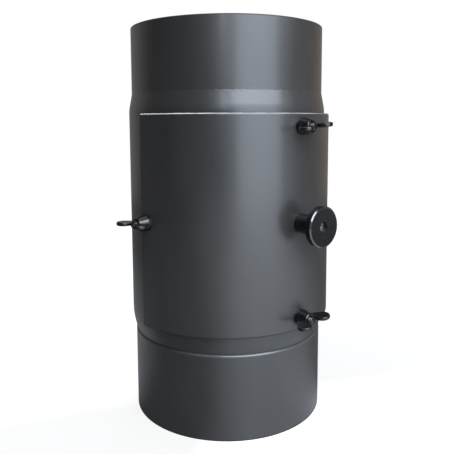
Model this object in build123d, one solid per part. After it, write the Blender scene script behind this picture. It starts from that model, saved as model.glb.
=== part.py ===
from build123d import *
import math
import os

# Stove pipe particulate filter, in millimetres
# The flue axis is Z, the bottom rim lies at Z = 0 and the door faces -Y
# Angles round the flue are measured from the door's centre line, towards +X

# Flue tube
total_height = 300.0
pipe_diameter = 150.0
wall = 2.0
upper_pipe_length = 50.0
lower_pipe_length = 64.0
rim_round = 0.4
lip_round = 1.4

# Housing between the two pipe ends
housing_step = 2.3
flare_height = 12.0
flare_round = 25.0
shoulder_height = 18.0
shoulder_inset = 1.0
shoulder_gap = 0.2
neck_overlap = 12.0
fit_gap = 0.02

# Door and the window that it covers
door_sheet = 2.0
door_lower_gap = 14.0
door_upper_gap = 3.5
door_half_angle = 92.0
door_corner = 2.0
door_edge_round = 1.4
gasket_thickness = 1.6
gasket_inset = 1.5
window_margin = 20.0
window_half_angle = 75.0
window_corner = 8.0

# Studs, washers and wing nuts
stud_diameter = 6.0
stud_end = 2.6
stud_chamfer = 0.6
stud_flange_diameter = 7.8
stud_flange_height = 1.2
stud_edge_inset = 9.5
stud_side_inset = 8.0
stud_hole_clearance = 0.5
washer_diameter = 12.0
washer_thickness = 1.6
washer_clearance = 0.2
washer_lift = 0.15
nut_base_diameter = 12.4
nut_top_diameter = 9.2
nut_height = 8.0
nut_chamfer = 0.5
thread_clearance = 0.05
wing_span = 30.0
wing_height = 16.5
wing_thickness = 2.8
wing_lobe_radius = 5.2
wing_root_radius = 1.6
wing_edge_round = 0.9
wing_turn = {"top": 7.0, "bottom": 10.0, "left": 0.0, "right": -6.0}

# Pull knob with its screw
knob_diameter = 29.0
knob_height = 21.5
knob_rim = 5.0
knob_bevel = 0.8
knob_dish = 0.5
knob_neck_diameter = 14.0
knob_throat_round = 3.0
knob_recess_diameter = 7.6
knob_recess_depth = 5.6
knob_screw_diameter = 4.0
knob_screw_clearance = 0.2
knob_screw_head_diameter = 7.0
knob_screw_head_height = 2.6
knob_screw_socket_flats = 3.0
knob_screw_socket_depth = 1.6
knob_screw_end = 1.2
knob_washer_diameter = 9.0
knob_washer_thickness = 0.8
knob_nut_flats = 7.0
knob_nut_height = 3.2

# Filter cartridge and its seat
seat_thickness = 3.0
seat_rise = 0.5
seat_width = 10.0
cartridge_clearance = 2.7
cartridge_lift_room = 10.0
cartridge_sheet = 1.2
cartridge_lip = 6.0
cartridge_rim_depth = 4.0
cartridge_gap = 0.1
grid_thickness = 1.5
grid_pitch = 12.0
grid_bar = 3.0
grid_border = 4.0
grid_hub_radius = 11.0
rod_diameter = 6.0
rod_clearance = 0.2
rod_end = 2.5
rod_washer_diameter = 18.0
rod_washer_thickness = 1.6
rod_nut_flats = 10.0
rod_nut_height = 5.0

# Radii and levels that follow from the sizes above
pipe_radius = pipe_diameter / 2
housing_radius = pipe_radius + housing_step
housing_bore = housing_radius - wall
neck_radius = pipe_radius - wall - fit_gap
housing_top = total_height - upper_pipe_length
flare_bottom = housing_top - flare_height
shoulder_top = lower_pipe_length + shoulder_height
shoulder_end = lower_pipe_length + shoulder_gap
neck_bottom = lower_pipe_length - neck_overlap

door_inner_radius = housing_radius + gasket_thickness
door_outer_radius = door_inner_radius + door_sheet
door_bottom = lower_pipe_length + door_lower_gap
door_top = flare_bottom - door_upper_gap
door_middle = (door_bottom + door_top) / 2
window_bottom = door_bottom + window_margin
window_top = door_top - window_margin

side_angle = door_half_angle - math.degrees(stud_side_inset / door_outer_radius)
fasteners = {
    "top": (0.0, door_top - stud_edge_inset),
    "bottom": (0.0, door_bottom + stud_edge_inset),
    "left": (-side_angle, door_middle),
    "right": (side_angle, door_middle),
}
fastener_seat = door_outer_radius + washer_lift
stud_radius = stud_diameter / 2
stud_hole_radius = stud_radius + stud_hole_clearance
stud_tip = washer_thickness + nut_height + stud_end

knob_screw_radius = knob_screw_diameter / 2
knob_hole_radius = knob_screw_radius + knob_screw_clearance
knob_head_seat = knob_height - knob_dish - knob_recess_depth
knob_washer_seat = math.sqrt(door_inner_radius**2 - (knob_washer_diameter / 2) ** 2) - fit_gap

cartridge_radius = housing_bore * math.sin(math.radians(window_half_angle)) - cartridge_clearance
cartridge_bottom = window_bottom + seat_rise
cartridge_top = window_top - cartridge_lift_room
grid_radius = cartridge_radius - cartridge_sheet - cartridge_gap
lower_grid_bottom = cartridge_bottom + cartridge_sheet
upper_grid_bottom = cartridge_top - cartridge_rim_depth - grid_thickness
rod_radius = rod_diameter / 2
rod_hole_radius = rod_radius + rod_clearance


def ring(outer, inner, bottom, top):
    """A plain tube or washer about the Z axis."""
    return Pos(0, 0, bottom) * extrude(Circle(outer) - Circle(inner), top - bottom)


def disc(radius, bottom, top):
    """A plain cylinder about the Z axis."""
    return Pos(0, 0, bottom) * extrude(Circle(radius), top - bottom)


def hex_nut(flats, bore_radius, bottom, top):
    """A hexagon nut about the Z axis."""
    outline = RegularPolygon(flats / 2, 6, major_radius=False) - Circle(bore_radius)
    return Pos(0, 0, bottom) * extrude(outline, top - bottom)


def sector(inner, outer, bottom, top, half_angle):
    """A curved panel about the flue, centred on the door's centre line."""
    section = Plane.XZ * Pos((inner + outer) / 2, (bottom + top) / 2) * Rectangle(outer - inner, top - bottom)
    return Rot(0, 0, -90 - half_angle) * revolve(section, Axis.Z, 2 * half_angle)


def round_corners(panel, radius):
    """Rounds the four corners of a curved panel, which are its edges that run out from the flue axis."""
    corners = panel.edges().filter_by(GeomType.LINE).filter_by(lambda edge: abs(edge.tangent_at(0).Z) < 0.5)
    return fillet(corners, radius)


def facing_out(angle, radius, height):
    """A plane that faces away from the flue, with X level and Y upright."""
    turn = math.radians(angle)
    out = Vector(math.sin(turn), -math.cos(turn), 0)
    level = Vector(math.cos(turn), math.sin(turn), 0)
    return Plane(origin=out * radius + Vector(0, 0, height), x_dir=level, z_dir=out)


def drill(panel, angle, height, radius):
    """Cuts a round hole through a curved panel."""
    bit = facing_out(angle, 0, height) * disc(radius, housing_bore / 2, 2 * door_outer_radius)
    return panel - bit


# Pipes

def upper_pipe():
    tube = ring(pipe_radius, pipe_radius - wall, housing_top, total_height)
    return fillet(tube.edges().group_by(Axis.Z)[-1], rim_round)


def lower_pipe():
    tube = ring(pipe_radius, pipe_radius - wall, 0, lower_pipe_length)
    return fillet(tube.edges().group_by(Axis.Z)[-1].sort_by(SortBy.LENGTH)[-1], lip_round)


# Housing: one spun sheet, flared at the top, rounded in at the shoulder and necked into the lower pipe

def housing_side(inset, end_radius):
    """The side of the spun sheet from the top weld down to the end of the shoulder."""
    flare = FilletPolyline(
        (pipe_radius - inset, housing_top),
        (housing_radius - inset, flare_bottom),
        (housing_radius - inset, shoulder_top),
        radius=flare_round - inset,
    )
    shoulder = TangentArc(flare @ 1, (end_radius, shoulder_end), tangent=(0, -1))
    return flare.edges() + shoulder.edges()


def housing():
    end_radius = pipe_radius - shoulder_inset
    neck = Polyline(
        (end_radius, shoulder_end),
        (neck_radius, shoulder_end),
        (neck_radius, neck_bottom),
        (neck_radius - wall, neck_bottom),
        (neck_radius - wall, shoulder_end),
    )
    top = Line((pipe_radius - wall, housing_top), (pipe_radius, housing_top))
    outside = housing_side(0, end_radius)
    inside = housing_side(wall, neck_radius - wall)
    sheet = make_face(outside + neck.edges() + inside + top.edges())
    tube = revolve(Plane.XZ * sheet, Axis.Z)
    window = sector(housing_bore - wall, housing_radius + wall, window_bottom, window_top, window_half_angle)
    return tube - round_corners(window, window_corner)


def seat_ring():
    bore = cartridge_radius - seat_width
    return ring(housing_bore - fit_gap, bore, cartridge_bottom - seat_thickness, cartridge_bottom)


# Door and gasket

def door():
    panel = sector(door_inner_radius, door_outer_radius, door_bottom, door_top, door_half_angle)
    panel = round_corners(panel, door_corner)
    outer_face = panel.faces().filter_by(GeomType.CYLINDER).sort_by(SortBy.AREA)[-1]
    panel = fillet(outer_face.edges(), door_edge_round)
    for angle, height in fasteners.values():
        panel = drill(panel, angle, height, stud_hole_radius)
    return drill(panel, 0, door_middle, knob_hole_radius)


def door_gasket():
    inner = housing_radius + fit_gap
    outer = door_inner_radius - fit_gap
    inset_angle = math.degrees(gasket_inset / housing_radius)
    band = sector(
        inner,
        outer,
        door_bottom + gasket_inset,
        door_top - gasket_inset,
        door_half_angle - inset_angle,
    )
    opening = sector(
        inner - wall,
        outer + wall,
        window_bottom - gasket_inset,
        window_top + gasket_inset,
        window_half_angle + inset_angle,
    )
    band = round_corners(band, door_corner) - round_corners(opening, window_corner)
    for angle, height in fasteners.values():
        band = drill(band, angle, height, stud_flange_diameter / 2 + stud_hole_clearance)
    return band


# Fasteners of the door

def door_stud(angle, height):
    root = housing_bore - fastener_seat
    shank = disc(stud_radius, root, stud_tip)
    shank = chamfer(shank.edges().group_by(Axis.Z)[-1], stud_chamfer)
    flange_top = housing_radius + stud_flange_height - fastener_seat
    stud = shank + disc(stud_flange_diameter / 2, root, flange_top)
    flue = disc(housing_radius + fit_gap, 0, total_height)
    return facing_out(angle, fastener_seat, height) * stud - flue


def stud_washer(angle, height):
    plate = ring(washer_diameter / 2, stud_radius + washer_clearance, 0, washer_thickness)
    return facing_out(angle, fastener_seat, height) * plate


def wing():
    """One ear of a wing nut in the XZ plane, rising from the hub's foot to a round lobe."""
    lobe = Pos(wing_span / 2 - wing_lobe_radius, wing_height - wing_lobe_radius) * Circle(wing_lobe_radius)
    root = Pos(nut_base_diameter / 2 - wing_root_radius, wing_root_radius) * Circle(wing_root_radius)
    outline = make_hull(lobe.edges() + root.edges())
    ear = extrude(Plane.XZ * outline, wing_thickness / 2, both=True)
    faces = ear.faces().filter_by(Axis.Y)
    return fillet(faces[0].edges() + faces[-1].edges(), wing_edge_round)


def wing_nut(angle, height, turn):
    hub_outline = Polyline(
        (0, 0),
        (nut_base_diameter / 2 - nut_chamfer, 0),
        (nut_base_diameter / 2, nut_chamfer),
        (nut_top_diameter / 2, nut_height - nut_chamfer),
        (nut_top_diameter / 2 - nut_chamfer, nut_height),
        (0, nut_height),
        close=True,
    )
    hub = revolve(Plane.XZ * make_face(hub_outline), Axis.Z)
    ear = wing()
    nut = hub + ear + Rot(0, 0, 180) * ear
    nut -= disc(stud_radius + thread_clearance, -nut_height, 2 * nut_height)
    return facing_out(angle, fastener_seat + washer_thickness, height) * Rot(0, 0, turn) * nut


# Knob and its fastening, along the door's centre line

def on_door(shape, radius=door_outer_radius):
    return facing_out(0, radius, door_middle) * shape


def knob():
    rim_radius = knob_diameter / 2
    neck = knob_neck_diameter / 2
    rim_bottom = knob_height - knob_rim
    side = FilletPolyline(
        (neck, 0),
        (neck, rim_bottom - (rim_radius - neck) / 4),
        (rim_radius, rim_bottom),
        (rim_radius, knob_height - knob_bevel),
        radius=[knob_throat_round, knob_bevel],
    )
    bevel = Line(side @ 1, (rim_radius - knob_bevel, knob_height))
    face = ThreePointArc(
        bevel @ 1,
        ((rim_radius - knob_bevel) / 2, knob_height - 0.75 * knob_dish),
        (0, knob_height - knob_dish),
    )
    close = Polyline(face @ 1, (0, 0), side @ 0)
    outline = make_face(side.edges() + bevel.edges() + face.edges() + close.edges())
    body = revolve(Plane.XZ * outline, Axis.Z)
    body -= disc(knob_recess_diameter / 2, knob_head_seat, 2 * knob_height)
    body -= disc(knob_hole_radius, -knob_height, knob_height)
    return on_door(body)


def knob_screw():
    head_top = knob_head_seat + knob_screw_head_height
    tip = knob_washer_seat - knob_washer_thickness - knob_nut_height - knob_screw_end - door_outer_radius
    screw = disc(knob_screw_head_diameter / 2, knob_head_seat, head_top)
    screw += disc(knob_screw_radius, tip, knob_head_seat)
    socket = extrude(RegularPolygon(knob_screw_socket_flats / 2, 6, major_radius=False), knob_screw_socket_depth)
    return on_door(screw - Pos(0, 0, head_top - knob_screw_socket_depth) * socket)


def knob_washer():
    plate = ring(knob_washer_diameter / 2, knob_hole_radius, -knob_washer_thickness, 0)
    return on_door(plate, knob_washer_seat)


def knob_nut():
    bottom = -knob_washer_thickness - knob_nut_height
    nut = hex_nut(knob_nut_flats, knob_screw_radius + fit_gap, bottom, -knob_washer_thickness)
    return on_door(nut, knob_washer_seat)


# Filter cartridge

def cartridge_shell():
    bore = cartridge_radius - cartridge_sheet
    side = ring(cartridge_radius, bore, cartridge_bottom, cartridge_top)
    return side + ring(bore, bore - cartridge_lip, cartridge_bottom, lower_grid_bottom)


def cartridge_grid(bottom):
    """A punched plate with a square mesh, whole at its border and round the tie rod."""
    hole = grid_pitch - grid_bar
    reach = int(grid_radius // grid_pitch) + 1
    holes = []
    for column in range(-reach, reach + 1):
        for row in range(-reach, reach + 1):
            x = column * grid_pitch
            y = row * grid_pitch
            far_corner = math.hypot(abs(x) + hole / 2, abs(y) + hole / 2)
            if far_corner < grid_radius - grid_border and math.hypot(x, y) > grid_hub_radius:
                holes.append(Pos(x, y) * Rectangle(hole, hole))
    plate = Circle(grid_radius) - Circle(rod_hole_radius) - holes
    return Pos(0, 0, bottom) * extrude(plate, grid_thickness)


def filter_pack():
    return ring(grid_radius, rod_hole_radius, lower_grid_bottom + grid_thickness, upper_grid_bottom)


lower_washer_bottom = lower_grid_bottom - rod_washer_thickness
lower_nut_bottom = lower_washer_bottom - rod_nut_height
upper_washer_bottom = upper_grid_bottom + grid_thickness
upper_nut_bottom = upper_washer_bottom + rod_washer_thickness


def tie_rod():
    return disc(rod_radius, lower_nut_bottom - rod_end, upper_nut_bottom + rod_nut_height + rod_end)


def tie_rod_washers():
    plates = []
    for bottom in (lower_washer_bottom, upper_washer_bottom):
        plates.append(ring(rod_washer_diameter / 2, rod_hole_radius, bottom, bottom + rod_washer_thickness))
    return Compound(plates)


def tie_rod_nuts():
    nuts = []
    for bottom in (lower_nut_bottom, upper_nut_bottom):
        nuts.append(hex_nut(rod_nut_flats, rod_radius + fit_gap, bottom, bottom + rod_nut_height))
    return Compound(nuts)


# Every piece under its own name

pieces = {
    "upper_pipe": upper_pipe(),
    "housing": housing(),
    "lower_pipe": lower_pipe(),
    "seat_ring": seat_ring(),
    "door": door(),
    "door_gasket": door_gasket(),
    "door_studs": Compound([door_stud(angle, height) for angle, height in fasteners.values()]),
    "knob": knob(),
    "knob_screw": knob_screw(),
    "knob_washer": knob_washer(),
    "knob_nut": knob_nut(),
    "cartridge_shell": cartridge_shell(),
    "cartridge_lower_grid": cartridge_grid(lower_grid_bottom),
    "cartridge_upper_grid": cartridge_grid(upper_grid_bottom),
    "filter_pack": filter_pack(),
    "tie_rod": tie_rod(),
    "tie_rod_washers": tie_rod_washers(),
    "tie_rod_nuts": tie_rod_nuts(),
}
for side, (angle, height) in fasteners.items():
    pieces[f"washer_{side}"] = stud_washer(angle, height)
    pieces[f"wing_nut_{side}"] = wing_nut(angle, height, wing_turn[side])

os.makedirs("parts", exist_ok=True)
for name, piece in pieces.items():
    export_step(piece, f"parts/{name}.step")
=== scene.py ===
# %% [markdown]
# # A stove pipe particulate filter
# The part is a length of flue pipe with a wider housing in its middle. A curved door, held by four wing nuts,
# covers a window in the housing, and a cartridge of knitted wire stands behind it. The solids come from the
# frame, at their real size. This lesson gives them their finishes, knits the wire, cuts the threads, and then
# sets up the camera and the light.

# %% Load the frame
import math

import bmesh
import bpy
from mathutils import Matrix, Vector, noise


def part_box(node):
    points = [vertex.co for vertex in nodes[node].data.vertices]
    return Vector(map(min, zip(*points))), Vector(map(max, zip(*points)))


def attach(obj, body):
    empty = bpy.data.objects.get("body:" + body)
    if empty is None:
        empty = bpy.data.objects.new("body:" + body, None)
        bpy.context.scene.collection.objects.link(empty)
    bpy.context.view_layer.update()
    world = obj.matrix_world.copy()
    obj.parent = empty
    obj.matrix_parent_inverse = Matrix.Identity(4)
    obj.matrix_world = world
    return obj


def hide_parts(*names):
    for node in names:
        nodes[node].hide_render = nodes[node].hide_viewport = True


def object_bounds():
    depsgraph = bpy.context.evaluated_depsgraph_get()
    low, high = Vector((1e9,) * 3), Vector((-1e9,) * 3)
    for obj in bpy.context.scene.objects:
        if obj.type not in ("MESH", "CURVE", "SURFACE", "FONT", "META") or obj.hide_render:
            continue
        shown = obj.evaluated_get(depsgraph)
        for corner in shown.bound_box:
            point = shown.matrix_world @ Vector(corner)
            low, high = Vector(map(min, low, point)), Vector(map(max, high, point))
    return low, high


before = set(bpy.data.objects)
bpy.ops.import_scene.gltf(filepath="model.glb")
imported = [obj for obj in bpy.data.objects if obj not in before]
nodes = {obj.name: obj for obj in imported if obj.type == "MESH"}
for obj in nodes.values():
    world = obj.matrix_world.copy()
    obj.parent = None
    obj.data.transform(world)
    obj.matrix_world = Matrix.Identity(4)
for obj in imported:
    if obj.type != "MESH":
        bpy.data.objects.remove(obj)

cad_low, cad_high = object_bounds()
MM = 0.001
print("CAD box in mm:", [round(side / MM, 1) for side in cad_high - cad_low], "nodes:", len(nodes))

# %% [markdown]
# ## Shader maths as expressions
# A finish is a small calculation for each point of a surface. Nodes could be placed one by one in the shader
# editor, but the sums are easier to read as Python. `Flow` wraps one socket, so that `1 - mask` adds a Math node.


# %% A socket with operators
class Flow:
    """One value on its way through a finish."""

    def __init__(self, finish, socket):
        self.finish = finish
        self.socket = socket

    def maths(self, operation, *values):
        return self.finish.node("Math", {"operation": operation}, dict(enumerate(values)))

    def __add__(self, other):
        return self.maths("ADD", self, other)

    def __radd__(self, other):
        return self.maths("ADD", other, self)

    def __sub__(self, other):
        return self.maths("SUBTRACT", self, other)

    def __rsub__(self, other):
        return self.maths("SUBTRACT", other, self)

    def __mul__(self, other):
        return self.maths("MULTIPLY", self, other)

    def __rmul__(self, other):
        return self.maths("MULTIPLY", other, self)

    def __abs__(self):
        return self.maths("ABSOLUTE", self)


print("values can be added, subtracted, multiplied and made positive")

# %% [markdown]
# ## One class for every material
# `Finish` holds one material. Its `node` method makes any node: the settings are set first, because they can change
# the sockets, and then the inputs get their values or links. `set` feeds the sockets of the shader itself.


# %% A material and its nodes
class Finish:
    """One material and the nodes that feed its shader."""

    def __init__(self, name, tree=None):
        if tree is None:
            self.material = bpy.data.materials.new(name)
            self.material.use_nodes = True
            tree = self.material.node_tree
        self.tree = tree
        self.shader = tree.nodes.get("Principled BSDF")

    def put(self, socket, value):
        if isinstance(value, Flow):
            self.tree.links.new(value.socket, socket)
        else:
            socket.default_value = value

    def node(self, kind, settings, inputs, output=0):
        made = self.tree.nodes.new("ShaderNode" + kind)
        for key, value in settings.items():
            setattr(made, key, value)
        for key, value in inputs.items():
            self.put(made.inputs[key], value)
        return Flow(self, made.outputs[output])

    def set(self, **sockets):
        for key, value in sockets.items():
            self.put(self.shader.inputs[key.replace("_", " ")], value)

    def vector(self, operation, first, second, output=0):
        return self.node("VectorMath", {"operation": operation}, {0: first, 1: second}, output)


print("a finish makes its own nodes")

# %% [markdown]
# ## Where a point is
# Real surfaces vary by place, so every pattern starts from the object's own coordinates, which are metres in the
# shared frame. They need no unwrapping, and they stay put when the camera moves. Most of this part is round, so the
# distance and the direction from the flue axis are of as much use as X, Y and Z.


# %% Places on the part
class Placed(Finish):
    """A finish that knows where each point of the object is."""

    def place(self):
        return self.node("TexCoord", {}, {}, "Object")

    def along(self, axis):
        return self.node("SeparateXYZ", {}, {0: self.place()}, axis)

    def distance(self, offset):
        return self.node("VectorMath", {"operation": "LENGTH"}, {0: offset}, "Value")

    def towards(self, turn):
        """From 1 for places in that direction from the origin to -1 for those opposite; it turns from -Y to +X."""
        unit = self.node("VectorMath", {"operation": "NORMALIZE"}, {0: self.place()})
        return self.vector("DOT_PRODUCT", unit, (math.sin(turn), -math.cos(turn), 0), "Value")


print("a finish knows its places")

# %% [markdown]
# ## Patterns that every finish shares
# `span` turns a value into a mask, `grain` gives noise of a stated size, `blend` mixes two colours and `bumps` turns
# a height into a normal. Painted pictures could do the same, but these patterns stay sharp at any distance.


# %% Masks, noise and relief
class Surface(Placed):
    """A finish with masks, noise, mixed colours and relief."""

    def span(self, value, low, high, out_low=0.0, out_high=1.0):
        limits = {"From Min": low, "From Max": high, "To Min": out_low, "To Max": out_high}
        return self.node("MapRange", {"clamp": True}, {"Value": value, **limits})

    def grain(self, size, detail=2.0, stretch=(1, 1, 1)):
        """Noise from 0 to 1 with lumps of about that size, in metres."""
        spread = self.node("Mapping", {}, {"Vector": self.place(), "Scale": stretch})
        return self.node("TexNoise", {}, {"Vector": spread, "Scale": 1 / size, "Detail": detail}, "Fac")

    def blend(self, share, first, second):
        """A mix of two colours."""
        return self.node("Mix", {"data_type": "RGBA"}, {0: share, 6: first, 7: second}, 2)

    def bumps(self, height, depth, strength=1.0, under=None):
        """A normal from a height in units of depth metres, on top of another one if it is given."""
        sockets = {"Height": height, "Distance": depth, "Strength": strength}
        if under:
            sockets["Normal"] = under
        return self.node("Bump", {}, sockets)


print("patterns ready")

# %% [markdown]
# ## Greys, and which piece wears which finish
# Nearly every colour on this part is a grey, neutral or slightly warm, so one number and a share of warmth are enough
# to write it down. A finish is then put on the solids of the frame by their names, in place of their plain colour.


# %% Greys and wearing
def grey(value, warm=0.0):
    """A linear grey, with a little more red and less blue where it is warm."""
    return (value * (1 + warm), value, value * (1 - warm), 1.0)


def wear(finish, *names):
    """Gives a finish to CAD nodes."""
    for name in names:
        nodes[name].data.materials.clear()
        nodes[name].data.materials.append(finish.material)


print("a dark, warm grey:", [round(share, 4) for share in grey(0.03, 0.06)])

# %% [markdown]
# ## Heat-proof paint
# The sheet metal is sprayed with a dark grey stove paint that is baked on. It is satin, with a very fine grain
# from its pigment and a faint waviness from the rolled sheet under it. The waviness is drawn out along the pipe,
# so its noise is stretched in Z. A dusting of lighter grey breaks the colour up.

# %% The plain paint
paint = Surface("heat_proof_paint")
across, depth, height = (paint.along(axis) for axis in "XYZ")
radius = paint.distance(paint.vector("MULTIPLY", paint.place(), (1, 1, 0)))

pigment = paint.grain(0.5 * MM, 3.0)
cloud = paint.grain(30 * MM, 4.0, (1, 1, 0.35))
dust = paint.span(paint.grain(1.6 * MM, 5.0), 0.62, 0.75)
tone = paint.blend(paint.span(cloud, 0.35, 0.65), grey(0.032, 0.06), grey(0.042, 0.06))
tone = paint.blend(dust * 0.16, tone, grey(0.15))
ripple = paint.grain(22 * MM, 2.0, (1, 1, 0.25))
skin = pigment * 0.05 + ripple * 0.6
print("paint nodes so far:", len(paint.tree.nodes))

# %% [markdown]
# ## Welds under the paint
# The upper pipe is welded to the housing all round, and a lengthwise weld closes each rolled sheet at the back.
# The beads are too small to be worth modelling, so they are relief in the paint: a band by height for the ring
# weld, and a band near X = 0 on the far side for the other, with the scales that a weld pool leaves.

# %% Ring weld and back weld
SEAM_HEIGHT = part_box("upper_pipe")[0].z

off_seam = abs(height - SEAM_HEIGHT)
seam = paint.span(off_seam, 0.4 * MM, 2.2 * MM, 1.0, 0.0)
beads = paint.span(paint.grain(2.4 * MM, 2.0), 0.45, 0.8)
spatter = paint.span(paint.grain(0.9 * MM, 2.0), 0.7, 0.76)
specks = paint.span(off_seam, 1.0 * MM, 4.0 * MM, 1.0, 0.0) * spatter
tone = paint.blend(specks * 0.8, tone, grey(0.32))

at_back = paint.span(depth, 0.0, 1.0 * MM)
back_weld = paint.span(abs(across), 0.5 * MM, 2.0 * MM, 1.0, 0.0) * at_back
scales = paint.node("TexWave", {"bands_direction": "Z"}, {"Vector": paint.place(), "Scale": 160.0}, "Fac")
skin = skin + seam * beads * 1.4 + back_weld * (1.0 + 0.5 * scales)
print("ring weld at", round(SEAM_HEIGHT / MM, 1), "mm")

# %% [markdown]
# ## The highlight on the lip
# The lip of the lower pipe stands out a little, and its rounded top edge gets a painted highlight: a paler colour
# and a smoother, glossier surface, on the side where the window's reflection falls. The mask is a band by height,
# times one by direction.

# %% Paint the highlight on the lip
LIP_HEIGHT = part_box("lower_pipe")[1].z
LIP_HIGHLIGHT_SIDE = math.radians(-23)

lip_highlight = paint.span(height, LIP_HEIGHT - 2.0 * MM, LIP_HEIGHT - 0.9 * MM)
lip_highlight = lip_highlight * paint.span(height, LIP_HEIGHT + 0.02 * MM, LIP_HEIGHT + 0.1 * MM, 1.0, 0.0)
lip_highlight = lip_highlight * paint.span(paint.towards(LIP_HIGHLIGHT_SIDE), 0.48, 0.7, 0.1, 1.0)
# painted highlight: the lip is paler on the side where the window's reflection falls
tone = paint.blend(lip_highlight * 0.7, tone, grey(0.17))
print("lip at", round(LIP_HEIGHT / MM, 1), "mm")

# %% [markdown]
# ## Door edges and tube ends
# The door's top edge gets a painted highlight, brightest at its left end, where its rounding catches the light.
# Its lower edge and the outer corners of both tube ends get painted shade: a dark line with a duller surface. Each
# mask joins the height with the distance from the flue axis, so it falls exactly on the edge of the solid.

# %% Paint a highlight and shade on the edges
DOOR_LOW, DOOR_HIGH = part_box("door")
DOOR_RADIUS = DOOR_HIGH.x
PIPE_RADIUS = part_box("lower_pipe")[1].x

on_face = paint.span(radius, DOOR_RADIUS - 1.4 * MM, DOOR_RADIUS - 0.9 * MM)
# painted highlight along the rounded top edge of the door, brightest at its left end
top_edge_highlight = paint.span(height, DOOR_HIGH.z - 0.85 * MM, DOOR_HIGH.z - 0.5 * MM) * on_face
top_edge_highlight = top_edge_highlight * paint.span(paint.grain(6 * MM, 5.0), 0.3, 0.55, 0.6, 1.0)
top_edge_highlight = top_edge_highlight * paint.span(across, -72 * MM, -52 * MM, 1.0, 0.5)
top_edge_highlight = top_edge_highlight * paint.span(across, 5 * MM, 30 * MM, 1.0, 0.4)

# painted shade: a dark line along the door's lower edge and along the outer corners of both tube ends
on_door = paint.span(radius, DOOR_RADIUS - 2.2 * MM, DOOR_RADIUS - 1.9 * MM)
edge_shade = paint.span(height, DOOR_LOW.z + 0.5 * MM, DOOR_LOW.z + 1.3 * MM, 1.0, 0.0) * on_door
tube_end_shade = paint.span(height, 0.4 * MM, 1.0 * MM, 1.0, 0.0)
tube_end_shade = tube_end_shade + paint.span(height, cad_high.z - 1.0 * MM, cad_high.z - 0.4 * MM)
edge_shade = edge_shade + tube_end_shade * paint.span(radius, PIPE_RADIUS - 0.8 * MM, PIPE_RADIUS - 0.4 * MM)

# painted shade on the door's lower edge and the tube ends, with a rougher, less glossy surface below
tone = paint.blend(edge_shade * 0.8, tone, grey(0.008))
# painted highlight on the door's top edge
tone = paint.blend(top_edge_highlight, tone, grey(0.95))
print("door from", round(DOOR_LOW.z / MM, 1), "to", round(DOOR_HIGH.z / MM, 1), "mm")

# %% [markdown]
# ## The flat ends of a rolled sheet
# Rollers can't bend the last bit of a sheet, so the door is a little flatter near its upright edges and catches the
# light there in another way than the housing beside it. The solid is a plain arc. A new mesh for the door would be
# a lot of work for such a faint form, so it is a slope in the normal that grows towards the ends of the sheet.

# %% Flatten the ends and put the paint on
DOOR_REACH = math.radians(92)
FLAT_END = math.radians(17)
END_RISE = 2.8 * MM

angle = paint.node("Math", {"operation": "ARCTAN2"}, {0: across, 1: 0 - depth})
sheet_end = paint.span(abs(angle), DOOR_REACH - FLAT_END, DOOR_REACH) * on_door
flat_ends = paint.bumps(sheet_end * sheet_end, END_RISE)
paint.set(
    Base_Color=tone,
    Roughness=(0.3 + 0.1 * pigment + 0.06 * cloud) * (1 - 0.35 * lip_highlight) + 0.4 * edge_shade,
    Specular_IOR_Level=1.0,
    Coat_Weight=0.6 + 0.4 * lip_highlight - 0.6 * edge_shade,
    Coat_Roughness=0.18,
    Normal=paint.bumps(skin, 0.25 * MM, 0.5, flat_ends),
)
wear(paint, "upper_pipe", "housing", "lower_pipe", "seat_ring", "door")
print("painted: pipes, housing, seat ring and door, with", len(paint.tree.nodes), "nodes")

# %% [markdown]
# ## Blackened steel
# The wing nuts are cast and blackened in oil. They shine more than the paint, the casting leaves a fine grain, and
# fingers have rubbed them grey in places. A dark base with a low roughness gives that hard, small highlight.

# %% Blacken the nuts, washers and studs
SIDES = ("top", "bottom", "left", "right")

black_steel = Surface("blackened_steel")
cast = black_steel.grain(0.7 * MM, 4.0)
rub = black_steel.span(black_steel.grain(3 * MM, 3.0), 0.55, 0.75)
black_steel.set(
    Base_Color=black_steel.blend(rub * 0.35, grey(0.01), grey(0.07)),
    Metallic=0.2,
    Specular_IOR_Level=1.0,
    Roughness=0.06 + 0.1 * cast,
    Normal=black_steel.bumps(cast, 0.05 * MM, 0.5),
)
wear(black_steel, "door_studs", *[f"wing_nut_{side}" for side in SIDES], *[f"washer_{side}" for side in SIDES])
print("blackened:", 2 * len(SIDES) + 1, "nodes")

# %% [markdown]
# ## Zinc plating
# The knob's screw and the tie rod with its nuts are bought parts with a thin coat of zinc. Zinc freezes in small
# crystals, so a cell pattern sets its brightness, and fine scratches run along the rod.

# %% Plate the screw and the tie rod
zinc_steel = Surface("zinc_steel")
spangle = zinc_steel.node("TexVoronoi", {}, {"Vector": zinc_steel.place(), "Scale": 700.0}, "Distance")
scratch = zinc_steel.grain(0.4 * MM, 2.0, (1, 1, 0.1))
zinc_steel.set(
    Base_Color=zinc_steel.blend(spangle, grey(0.32, -0.02), grey(0.6)),
    Metallic=1.0,
    Roughness=0.36 + 0.16 * scratch,
    Normal=zinc_steel.bumps(scratch, 0.02 * MM, 0.5),
)
wear(zinc_steel, "knob_screw", "knob_washer", "knob_nut", "tie_rod", "tie_rod_washers", "tie_rod_nuts")
print("plated: knob fixing and tie rod")

# %% [markdown]
# ## Sooted stainless sheet
# The cartridge is brushed stainless sheet. Flue gas dulls it in patches, so one soft noise lowers the metal's
# brightness and raises its roughness together, and a stretched noise gives the brushing.

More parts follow.
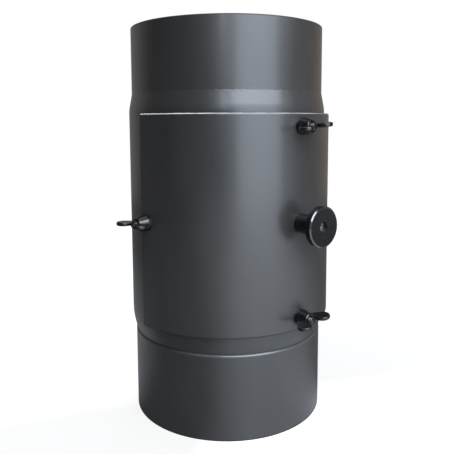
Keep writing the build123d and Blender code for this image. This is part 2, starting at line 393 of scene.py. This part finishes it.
# %% Finish the cartridge
stainless = Surface("stainless_sheet")
brushed = stainless.grain(0.5 * MM, 3.0, (1, 1, 0.04))
soot = stainless.span(stainless.grain(14 * MM, 5.0), 0.4, 0.68)
stainless.set(
    Base_Color=stainless.blend(soot, grey(0.75, 0.03), grey(0.38, 0.05)),
    Metallic=1.0 - 0.5 * soot,
    Roughness=0.3 + 0.12 * brushed + 0.22 * soot,
    Normal=stainless.bumps(brushed, 0.02 * MM, 0.5),
)
wear(stainless, "cartridge_shell", "cartridge_lower_grid", "cartridge_upper_grid")
print("stainless: shell and two grids")

# %% [markdown]
# ## The knob
# The knob is pressed from a black thermoset. Its face is satin, and hands have polished the bevel round it. The
# bevel is found by its distance from the knob's axis and from its face, and gets a clear coat of its own.

# %% Finish the knob
knob_low, knob_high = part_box("knob")
knob_middle = (knob_low + knob_high) / 2

moulding = Surface("black_moulding")
flattened = moulding.vector("MULTIPLY", moulding.place(), (1, 0, 1))
off_axis = moulding.vector("SUBTRACT", flattened, (knob_middle.x, 0, knob_middle.z))
at_rim = moulding.span(moulding.distance(off_axis), knob_high.x - 1.6 * MM, knob_high.x - 0.7 * MM)
at_face = moulding.span(moulding.along("Y"), knob_low.y + 0.6 * MM, knob_low.y + 1.0 * MM, 1.0, 0.0)
polish = at_rim * at_face
flow_marks = moulding.grain(5 * MM, 4.0)
pores = moulding.grain(0.35 * MM, 2.0)
moulding.set(
    Base_Color=moulding.blend(flow_marks, grey(0.006), grey(0.012)),
    Roughness=(0.2 + 0.1 * flow_marks + 0.06 * pores) * (1 - 0.4 * polish),
    Specular_IOR_Level=0.4,
    Coat_Weight=polish,
    Coat_Roughness=0.12,
    Coat_IOR=2.3,
    Normal=moulding.bumps(pores, 0.02 * MM, 0.4),
)
wear(moulding, "knob")
print("knob across", round(2 * knob_high.x / MM, 1), "mm")

# %% [markdown]
# ## The gasket
# The door seals on a flat tape of glass fibre, matt and dark. Only its cut edge shows, so a wave pattern for the
# strands and a soft noise for the fluff are enough.

# %% Finish the gasket
tape = Surface("fibre_gasket")
weave = {"Vector": tape.place(), "Scale": 400.0, "Distortion": 3.0}
strands = tape.node("TexWave", {"bands_direction": "Z"}, weave, "Fac")
fluff = tape.grain(0.8 * MM, 4.0)
tape.set(
    Base_Color=tape.blend(fluff, grey(0.07), grey(0.18)),
    Roughness=0.8 + 0.15 * fluff,
    Normal=tape.bumps(strands + fluff, 0.15 * MM, 0.7),
)
wear(tape, "door_gasket")
print("gasket finished")

# %% [markdown]
# ## A knitted loop
# The filter is a rolled knit of thin stainless wire, pressed between the two grids. It could be one block with a
# bump map, but it is seen through the open grids from above and below, so its end layers are real wire. One row of
# the knit is a line that runs back on itself at the top and the foot of each loop: a sine whose X swings twice as
# fast. A little noise keeps the loops from looking machined.

# %% The line of one row
STITCH = 5.2 * MM
LOOP_HEIGHT = 6.4 * MM
LOOP_SWING = 0.32 * STITCH
WIRE_RADIUS = 0.28 * MM
WANDER = 0.9 * MM
WANDER_RATE = 60


def loop_point(along, row_y, level):
    phase = 2 * math.pi * along / STITCH
    x = along + LOOP_SWING * math.sin(2 * phase)
    y = row_y - 0.5 * LOOP_HEIGHT * math.cos(phase)
    z = level + 1.1 * WIRE_RADIUS * math.cos(2 * phase)
    wander = noise.noise_vector(Vector((x, y, z)) * WANDER_RATE) * WANDER
    return Vector((x + wander.x, y + wander.y, z + 0.4 * wander.z))


print("stitch in mm:", round(STITCH / MM, 1), "by", round(LOOP_HEIGHT / MM, 1))

# %% [markdown]
# ## Wire along a line
# A curve with a bevel would also give wire, but a mesh of all the rows in one piece is lighter and exports as it
# is. The tube is swept by hand: a small polygon at each point, square to the way ahead, joined to the one before.

# %% Sweep the wire
WIRE_SIDES = 5


def wire_ring(mesh, point, ahead):
    side = ahead.cross(Vector((0, 0, 1))).normalized()
    up = side.cross(ahead).normalized()
    ring = []
    for corner in range(WIRE_SIDES):
        turn = 2 * math.pi * corner / WIRE_SIDES
        ring.append(mesh.verts.new(point + WIRE_RADIUS * (side * math.cos(turn) + up * math.sin(turn))))
    return ring


def wire_tube(mesh, points):
    previous = None
    for index, point in enumerate(points):
        ahead = points[min(index + 1, len(points) - 1)] - points[max(index - 1, 0)]
        ring = wire_ring(mesh, point, ahead)
        if previous:
            for corner in range(WIRE_SIDES):
                beside = (corner + 1) % WIRE_SIDES
                mesh.faces.new((previous[corner], previous[beside], ring[beside], ring[corner]))
        previous = ring


print("wire of", round(2 * WIRE_RADIUS / MM, 2), "mm with", WIRE_SIDES, "sides")

# %% [markdown]
# ## Layers of rows
# Rows lie closer than a loop is high, so each row hooks through the one before. A layer fills the round cartridge:
# every row is as long as the circle is wide there, and points that would leave the circle are drawn back to it.

# %% Knit a layer
PACK_LOW, PACK_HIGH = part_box("filter_pack")
PACK_RADIUS = (PACK_HIGH.x - PACK_LOW.x) / 2
KNIT_RADIUS = PACK_RADIUS - 1.5 * MM
ROW_GAP = 3.4 * MM
STEPS_PER_STITCH = 10


def row_points(row_y, level):
    half = math.sqrt(max(KNIT_RADIUS**2 - row_y**2, 0))
    steps = int(2 * half / STITCH * STEPS_PER_STITCH)
    for step in range(steps + 1):
        point = loop_point(-half + 2 * half * step / max(steps, 1), row_y, level)
        flat = Vector((point.x, point.y))
        if flat.length > KNIT_RADIUS:
            flat *= KNIT_RADIUS / flat.length
        yield Vector((flat.x, flat.y, point.z))


def knit_layer(mesh, level, turned):
    turn = Matrix.Rotation(turned, 3, "Z")
    rows = int(KNIT_RADIUS // ROW_GAP)
    for row in range(-rows, rows + 1):
        points = [turn @ point for point in row_points(row * ROW_GAP, level)]
        if len(points) > STEPS_PER_STITCH:
            wire_tube(mesh, points)


print("rows in a layer:", 2 * int(KNIT_RADIUS // ROW_GAP) + 1)

# %% [markdown]
# ## Wire that has been hot
# The wire is stainless too, but flue gas passes right through it, and the heat has coloured it brown in patches. It
# is thin, so a soft noise for the colour and the roughness is enough, with a little relief for the core under it.

# %% Finish the wire
wire = Surface("knitted_wire")
heat = wire.grain(9 * MM, 4.0)
wire.set(
    Base_Color=wire.blend(wire.span(heat, 0.35, 0.65), grey(0.75, 0.05), grey(0.3, 0.12)),
    Metallic=0.85,
    Roughness=0.3 + 0.25 * heat,
    Normal=wire.bumps(wire.grain(1.2 * MM, 4.0), 0.4 * MM, 0.6),
)
print("wire nodes:", len(wire.tree.nodes))

# %% [markdown]
# ## From mesh to piece
# The knit, the threads and the floor are built point by point in a bmesh. One helper makes an object from such a
# mesh, gives it a finish and shades it smooth, because its facets stand for round wire and bars.


# %% Make a piece
def piece_from(mesh, name, finish):
    """A smooth object from a finished bmesh."""
    data = bpy.data.meshes.new(name)
    mesh.to_mesh(data)
    mesh.free()
    data.materials.append(finish.material)
    for face in data.polygons:
        face.use_smooth = True
    made = bpy.data.objects.new(name, data)
    bpy.context.scene.collection.objects.link(made)
    return made


print("a mesh can become a piece")

# %% [markdown]
# ## The filter pack
# Two layers at each end, turned against each other, lie over a core that fills the cartridge. Knitting the whole
# pack would cost many times the faces and show nothing more. The piece takes the place of the plain solid and rides
# on the same body.

# %% Build the pack
LAYER_DEPTHS = (1.6 * MM, 4.2 * MM)
LAYER_TURN = 1.05
END_TURN = 0.5
CORE_SEGMENTS = 64

knit = bmesh.new()
core_low = PACK_LOW.z + LAYER_DEPTHS[-1]
core_high = PACK_HIGH.z - LAYER_DEPTHS[-1]
bmesh.ops.create_cone(
    knit, cap_ends=True, segments=CORE_SEGMENTS, radius1=PACK_RADIUS, radius2=PACK_RADIUS,
    depth=core_high - core_low, matrix=Matrix.Translation((0, 0, (core_low + core_high) / 2)),
)
for number, sunk in enumerate(LAYER_DEPTHS):
    knit_layer(knit, PACK_HIGH.z - sunk, LAYER_TURN * number)
    knit_layer(knit, PACK_LOW.z + sunk, END_TURN + LAYER_TURN * number)
pack = piece_from(knit, "knitted_pack", wire)
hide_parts("filter_pack")
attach(pack, "filter_unit")
print("knitted pack faces:", len(pack.data.polygons))

# %% [markdown]
# ## Threads
# The solids leave the threads out. The ends of the four studs and of the tie rod stick out of their nuts, so their
# threads show. A thread is a ridge that climbs by one pitch per turn: a tube whose radius rises and falls with the
# height less the angle gives just that, without a sweep or a boolean. Near both ends a chamfer limits the radius.

# %% One ring of a thread
THREAD_PITCH = 1.0 * MM
THREAD_DEPTH = 0.5 * MM
THREAD_SEGMENTS = 20
CREST_SLOPE = 1.3
END_CHAMFER = 0.6 * MM


def thread_ring(mesh, place, height, radius, edge):
    """One ring of the bar, at that height and at that distance from its nearer end."""
    ring = []
    for segment in range(THREAD_SEGMENTS):
        share = segment / THREAD_SEGMENTS
        ridge = abs(2 * ((height / THREAD_PITCH - share) % 1.0) - 1)
        reach = radius - THREAD_DEPTH * min(1.0, CREST_SLOPE * ridge)
        reach = min(reach, radius - END_CHAMFER + edge)
        angle = 2 * math.pi * share
        ring.append(mesh.verts.new(place @ Vector((reach * math.cos(angle), reach * math.sin(angle), height))))
    return ring


print("thread pitch in mm:", THREAD_PITCH / MM)

# %% [markdown]
# ## A threaded bar
# The rings are stacked, eight to a pitch, and joined by faces. Fewer would leave the ridge ragged, and more wouldn't
# be seen on so thin a bar. A flat face closes each end.

# %% Stack the rings
THREAD_STEPS = 8


def threaded_bar(mesh, place, low, high, radius):
    count = round((high - low) / THREAD_PITCH * THREAD_STEPS)
    heights = [low + (high - low) * row / count for row in range(count + 1)]
    rows = [thread_ring(mesh, place, level, radius, min(level - low, high - level)) for level in heights]
    for below, above in zip(rows, rows[1:]):
        for segment in range(THREAD_SEGMENTS):
            beside = (segment + 1) % THREAD_SEGMENTS
            mesh.faces.new((below[segment], below[beside], above[beside], above[segment]))
    mesh.faces.new(rows[-1])
    mesh.faces.new(list(reversed(rows[0])))


print("rings to a pitch:", THREAD_STEPS)

# %% [markdown]
# ## The four studs
# Each stud is welded to the housing and points straight out through its washer, so the washer's middle gives its
# direction. All four are one piece, which replaces the plain studs of the frame and wears the nuts' blackened steel.

# %% Cut the studs
STUD_RADIUS = 3 * MM
STUD_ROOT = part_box("housing")[1].x - 0.2 * MM
STUD_TIP = -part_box("door_studs")[0].y


def stud_place(side):
    """A frame whose Z axis points out of the flue, through the middle of the washer on that side."""
    low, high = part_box(f"washer_{side}")
    middle = (low + high) / 2
    out = Vector((middle.x, middle.y, 0))
    return Matrix.Translation((0, 0, middle.z)) @ out.to_track_quat("Z", "Y").to_matrix().to_4x4()


stud_mesh = bmesh.new()
for side in SIDES:
    threaded_bar(stud_mesh, stud_place(side), STUD_ROOT, STUD_TIP, STUD_RADIUS)
studs = piece_from(stud_mesh, "threaded_studs", black_steel)
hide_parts("door_studs")
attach(studs, "filter_unit")
print("stud faces:", len(studs.data.polygons))

# %% [markdown]
# ## The tie rod
# The rod stands on the flue axis and holds the two grids of the cartridge together. It is cut from threaded bar, so
# its thread runs over its whole length, and its box in the frame gives both ends and its radius.

# %% Cut the tie rod
rod_mesh = bmesh.new()
rod_low, rod_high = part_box("tie_rod")
threaded_bar(rod_mesh, Matrix.Identity(4), rod_low.z, rod_high.z, rod_high.x)
rod = piece_from(rod_mesh, "threaded_rod", zinc_steel)
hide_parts("tie_rod")
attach(rod, "filter_unit")
print("rod faces:", len(rod.data.polygons))

# %% [markdown]
# ## The camera
# The photograph looks at the pipe from the left of its door, from just below the door's top edge and slightly
# downwards. The camera was worked out from the outlines of the two pipe ends. Its three axes are set up
# from the line of sight, so that it needs no target.

# %% Aim the camera
CAMERA_TURN = math.radians(-40.5)
CAMERA_REACH = 462 * MM
CAMERA_HEIGHT = 228 * MM
CAMERA_PITCH = 0.109
CAMERA_ROLL = -0.0047

to_left = Vector((math.sin(CAMERA_TURN), -math.cos(CAMERA_TURN), 0))
ahead = -to_left * math.cos(CAMERA_PITCH) - Vector((0, 0, math.sin(CAMERA_PITCH)))
right = ahead.cross(Vector((0, 0, 1))).normalized()
axes = Matrix((right, right.cross(ahead), -ahead)).transposed() @ Matrix.Rotation(CAMERA_ROLL, 3, "Z")
print("the camera looks along", [round(value, 3) for value in ahead])

# %% [markdown]
# ## The lens
# The photograph was taken from close by, with a normal lens. Its picture was cropped low, so the view is shifted
# down. A tilt would do that too, but it would make the upright edges lean.

# %% Set the camera
CAMERA_LENS = 45.18
CAMERA_SENSOR = 36.0
CAMERA_SHIFT = -0.0931

lens = bpy.data.cameras.new("photo_camera")
lens.lens = CAMERA_LENS
lens.sensor_width = CAMERA_SENSOR
lens.shift_y = CAMERA_SHIFT
lens.clip_start = 0.01
lens.clip_end = 100.0
camera = bpy.data.objects.new("photo_camera", lens)
camera.matrix_world = Matrix.Translation(to_left * CAMERA_REACH + Vector((0, 0, CAMERA_HEIGHT))) @ axes.to_4x4()
bpy.context.scene.collection.objects.link(camera)
bpy.context.scene.camera = camera
print("camera at", [round(value, 3) for value in camera.location])

# %% [markdown]
# ## White to the eye
# The photograph shows the part cut out on white, but its satin paint doesn't mirror that white: it shows a dim room.
# So the floor and the room are white in full for the camera and for rays through something clear, and for glossy rays
# only at a share, which the floor and the room state for themselves.


# %% Which rays see white
def seen_white(finish, shine_share):
    """1 for rays from the eye or through something clear, and a share for those that a glossy surface sends on."""
    eye = finish.node("LightPath", {}, {}, "Is Camera Ray")
    clear = finish.node("LightPath", {}, {}, "Is Transmission Ray")
    shine = finish.node("LightPath", {}, {}, "Is Glossy Ray") * shine_share
    return eye.maths("MAXIMUM", eye.maths("MAXIMUM", eye, clear), shine)


print("white can be kept to the eye")

# %% [markdown]
# ## The floor's finish
# The floor glows white, a little less near the pipe, where its shadow falls. The paint mirrors the floor too, and
# there it is mostly dim: pale only to the near right and close behind. It is clear from below, so that the pipe can
# also be looked at from underneath.

# %% Finish the floor
FLOOR_SHINE = 0.05

pale = Surface("pale_floor")
reach = pale.distance(pale.place())
rightward = pale.span(pale.towards(CAMERA_TURN + math.radians(75)), -0.05, 0.45)
nearward = pale.span(pale.towards(CAMERA_TURN + math.radians(15)), 0.0, 0.6)
backward = pale.span(pale.towards(CAMERA_TURN + math.radians(222)), 0.4, 0.9)
close = pale.span(reach, 0.2, 0.6, 1.0, 0.05)
pale.set(
    Base_Color=0.07 + 0.58 * rightward * nearward + 0.4 * backward * close,
    Roughness=0.9,
    Emission_Color=seen_white(pale, FLOOR_SHINE) * pale.span(reach, 0.08, 0.5, 0.88, 1.0),
    Emission_Strength=1.0,
)
under = pale.node("NewGeometry", {}, {}, "Backfacing")
clear_side = pale.node("BsdfTransparent", {}, {})
one_sided = pale.node("MixShader", {}, {0: under, 1: Flow(pale, pale.shader.outputs[0]), 2: clear_side})
pale.put(pale.tree.nodes["Material Output"].inputs["Surface"], one_sided)
print("floor nodes:", len(pale.tree.nodes))

# %% [markdown]
# ## The floor's shape
# The floor is a flat ring, open under the pipe's bore, so that light from below can reach the cartridge. It lies a
# hair below the lower rim, because two faces in the same plane would flicker.

# %% Lay the floor
FLOOR_REACH = 1.3
FLOOR_DROP = 0.2 * MM
FLOOR_SEGMENTS = 96
RIM_UNDERLAP = 1.5 * MM

floor_mesh = bmesh.new()
bmesh.ops.create_circle(floor_mesh, segments=FLOOR_SEGMENTS, radius=PIPE_RADIUS - RIM_UNDERLAP)
bmesh.ops.create_circle(floor_mesh, segments=FLOOR_SEGMENTS, radius=FLOOR_REACH)
bmesh.ops.bridge_loops(floor_mesh, edges=floor_mesh.edges[:])
bmesh.ops.recalc_face_normals(floor_mesh, faces=floor_mesh.faces[:])
bmesh.ops.translate(floor_mesh, verts=floor_mesh.verts, vec=(0, 0, -FLOOR_DROP))
if floor_mesh.faces[:][0].normal.z < 0:
    bmesh.ops.reverse_faces(floor_mesh, faces=floor_mesh.faces[:])
floor = piece_from(floor_mesh, "floor", pale)
print("floor faces:", len(floor.data.polygons))

# %% [markdown]
# ## The room
# A satin cylinder shows the room that it stands in. Here that is a dark room in front, and behind the pipe a pale
# sheet that is warmer on the right. The eye sees plain white all round. Glossy rays see part of that white behind
# the pipe, as much as the paint in the photograph shows at its edges.

# %% Surround the part
SHEET_SHINE = 0.14

world = bpy.data.worlds.new("white_room")
bpy.context.scene.world = world
world.use_nodes = True
room = Surface("white_room", world.node_tree)
look = room.node("TexCoord", {}, {}, "Generated")
behind = room.vector("DOT_PRODUCT", look, (-math.sin(CAMERA_TURN), math.cos(CAMERA_TURN), 0.0), "Value")
aside = room.vector("DOT_PRODUCT", look, (math.cos(CAMERA_TURN), math.sin(CAMERA_TURN), 0.0), "Value")
sheet = room.blend(room.span(aside, -0.2, 0.5), grey(0.13, 0.08), grey(0.14, 0.4))
sheet_share = room.span(behind, -0.1, 0.95)
dim = room.blend(sheet_share, grey(0.028), sheet)
lit = room.node("Background", {}, {"Color": dim, "Strength": 1.0})
white = room.node("Background", {}, {"Color": grey(1.0), "Strength": 1.0})
shown = room.node("MixShader", {}, {0: seen_white(room, SHEET_SHINE * sheet_share), 1: lit, 2: white})
room.put(world.node_tree.nodes["World Output"].inputs["Surface"], shown)
print("room nodes:", len(world.node_tree.nodes))

# %% [markdown]
# ## The lights
# In the photograph a broad window stands to the right of the camera, and its upper part is the brighter one. Soft
# panels take its place, because a panel gives the same long highlight on a cylinder as a window does. Each is placed
# by its direction from the part, so that it can be moved along the highlight that it makes.

# %% A soft panel
LIGHT_CENTRE = Vector((0, 0, 0.16))
WHITE = (1.0, 1.0, 1.0)
BLUISH = (0.78, 0.87, 1.0)


def panel(name, turn, rise, reach, width, height, power, tint):
    """A soft panel light, turned from the camera's line towards the right of the picture, in degrees and metres."""
    azimuth = CAMERA_TURN + math.radians(turn)
    lift = math.radians(rise)
    back = Vector((math.sin(azimuth) * math.cos(lift), -math.cos(azimuth) * math.cos(lift), math.sin(lift)))
    data = bpy.data.lights.new(name, "AREA")
    data.shape = "RECTANGLE"
    data.size = width
    data.size_y = height
    data.energy = power
    data.color = tint
    lamp = bpy.data.objects.new(name, data)
    lamp.location = LIGHT_CENTRE + back * reach
    lamp.rotation_mode = "QUATERNION"
    lamp.rotation_quaternion = (-back).to_track_quat("-Z", "Y")
    bpy.context.scene.collection.objects.link(lamp)


print("panels hang round", [round(value, 2) for value in LIGHT_CENTRE])

# %% [markdown]
# ## All the panels
# The window is two panels and a paler wall round it, a little blue, as daylight is. A thin strip in front makes the
# narrow second highlight. The panels behind, at the left and below keep the other sides from going black. All the
# powers are low, so that a colour renders about as it is written.

# %% Hang the panels
panel("window", 34.5, 4, 1.3, 1.15, 0.8, 6.5, BLUISH)
panel("window_top", 35, 38, 1.3, 1.32, 0.7, 16.5, BLUISH)
panel("pale_wall", 38, 15, 1.6, 2.6, 1.6, 4.5, BLUISH)
panel("overhead", -20, 78, 1.2, 1.2, 0.35, 3.5, WHITE)
panel("front", -4, 34, 1.5, 0.08, 1.2, 2.1, BLUISH)
panel("back", 179, 2, 1.4, 0.44, 1.2, 12, BLUISH)
panel("left_wall", 238, 6, 1.4, 0.8, 1.2, 0.2, WHITE)
panel("below", 0, -75, 0.9, 0.5, 0.5, 5, WHITE)
bpy.context.scene.view_settings.view_transform = "Standard"
print("panels:", len(bpy.data.lights))
